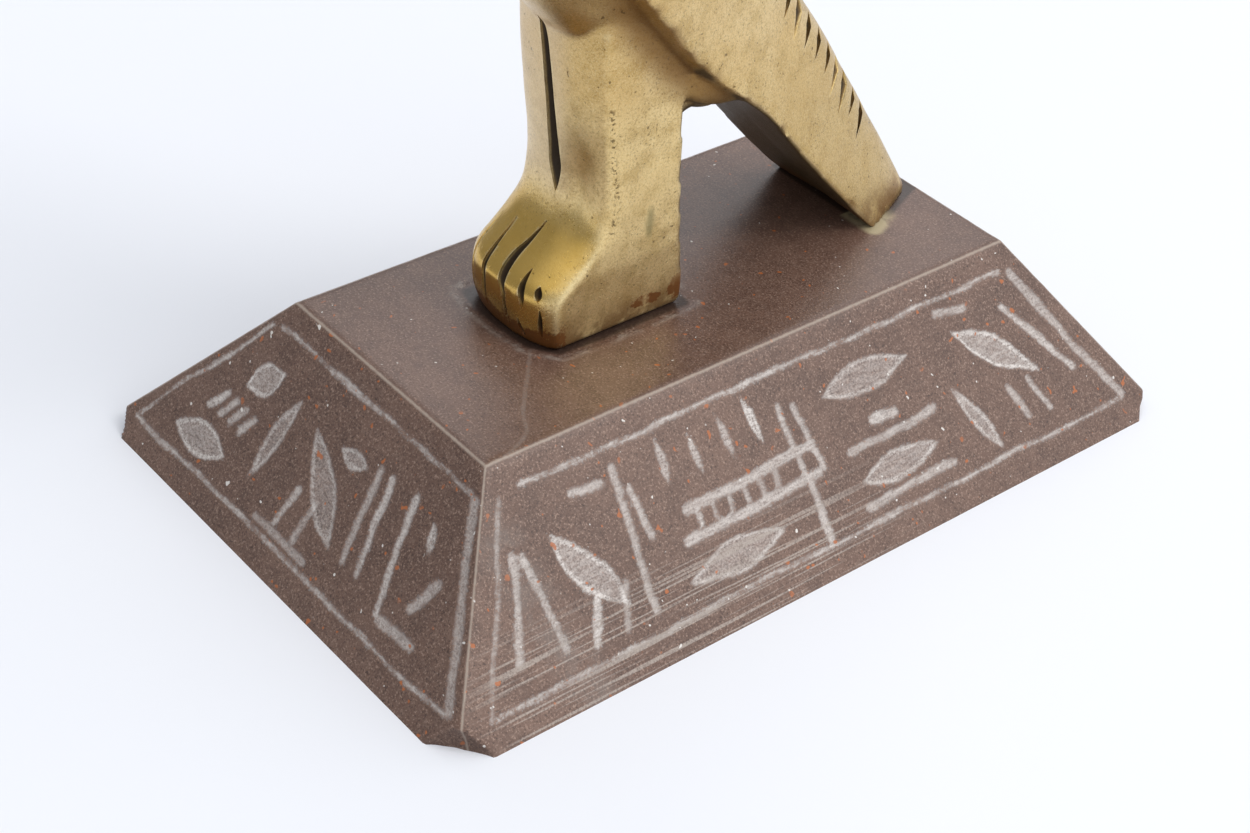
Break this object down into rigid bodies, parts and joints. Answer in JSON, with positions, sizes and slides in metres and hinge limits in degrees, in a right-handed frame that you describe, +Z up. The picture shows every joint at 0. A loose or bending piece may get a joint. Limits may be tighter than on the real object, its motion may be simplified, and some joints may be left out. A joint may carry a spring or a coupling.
{
  "type": "falcon statuette",
  "caption": "Cast brass falcon standing upright with folded wings, fixed on a low truncated-pyramid stone plinth with rows of scratched marks on its slopes.",
  "frame": {"origin": "centre of the plinth's underside", "axes": "+Z up, -Y the way the falcon looks, +X its left side"},
  "size_m": [0.0652, 0.1, 0.1294],
  "materials": {
    "brass": "cast and filed brass, softly polished, brown patina in the recesses",
    "stone": "honed brown stone, pale chalky scratched marks, fine specks"
  },
  "bodies": {
    "root": {"falcon": "brass", "plinth": "stone"}
  },
  "joints": []
}
